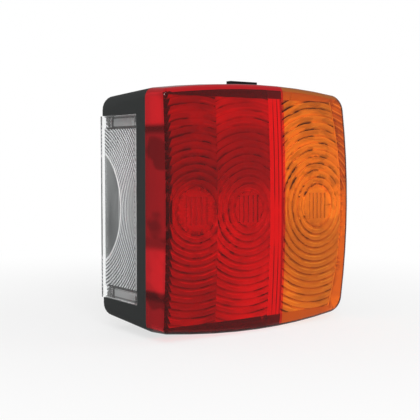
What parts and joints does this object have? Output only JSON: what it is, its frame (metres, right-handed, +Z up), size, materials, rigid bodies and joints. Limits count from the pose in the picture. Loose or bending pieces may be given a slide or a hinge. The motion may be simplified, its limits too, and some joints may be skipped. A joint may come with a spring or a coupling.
{
  "type": "trailer tail light",
  "caption": "Square trailer rear lamp with tail, stop and indicator lights behind a two-colour ringed lens, and a clear number plate window in its side.",
  "frame": {"origin": "centre of the flat back face that lies against the vehicle", "axes": "-Y forwards out of the lens, +Z up, +X to the right seen from the front; the number plate window is at -X"},
  "size_m": [0.104, 0.0732, 0.1056],
  "materials": {
    "black_plastic": "satin moulded plastic",
    "red_lens": "clear red plastic, polished outside",
    "amber_lens": "clear amber plastic, polished outside",
    "clear_plastic": "clear plastic with fine rings inside",
    "seal_rubber": "soft rubber",
    "white_plastic": "light grey moulded plastic",
    "zinc_steel": "zinc-plated sheet",
    "spring_brass": "bare spring brass",
    "bulb_glass": "clear blown glass",
    "cap_nickel": "nickel-plated brass",
    "filament_wire": "drawn wire on a glass stem",
    "rivet_metal": "pressed rivet",
    "screw_steel": "zinc-plated"
  },
  "bodies": {
    "root": {"housing": "black_plastic", "lens_red": "red_lens", "lens_amber": "amber_lens", "lens_seal": "seal_rubber", "plate_window": "clear_plastic", "bulb_carrier": "white_plastic", "tail_holder": "zinc_steel", "stop_holder": "zinc_steel", "indicator_holder": "zinc_steel", "tail_contact": "spring_brass", "stop_contact": "spring_brass", "indicator_contact": "spring_brass", "tail_bulb_glass": "bulb_glass", "tail_bulb_cap": "cap_nickel", "tail_bulb_filament": "filament_wire", "stop_bulb_glass": "bulb_glass", "stop_bulb_cap": "cap_nickel", "stop_bulb_filament": "filament_wire", "indicator_bulb_glass": "bulb_glass", "indicator_bulb_cap": "cap_nickel", "indicator_bulb_filament": "filament_wire", "earth_strip": "zinc_steel", "holder_rivets": "rivet_metal", "contact_rivets": "spring_brass", "terminal_screws": "screw_steel", "carrier_screws": "screw_steel", "mounting_bolts": "screw_steel", "cable_grommet": "seal_rubber"}
  },
  "joints": []
}
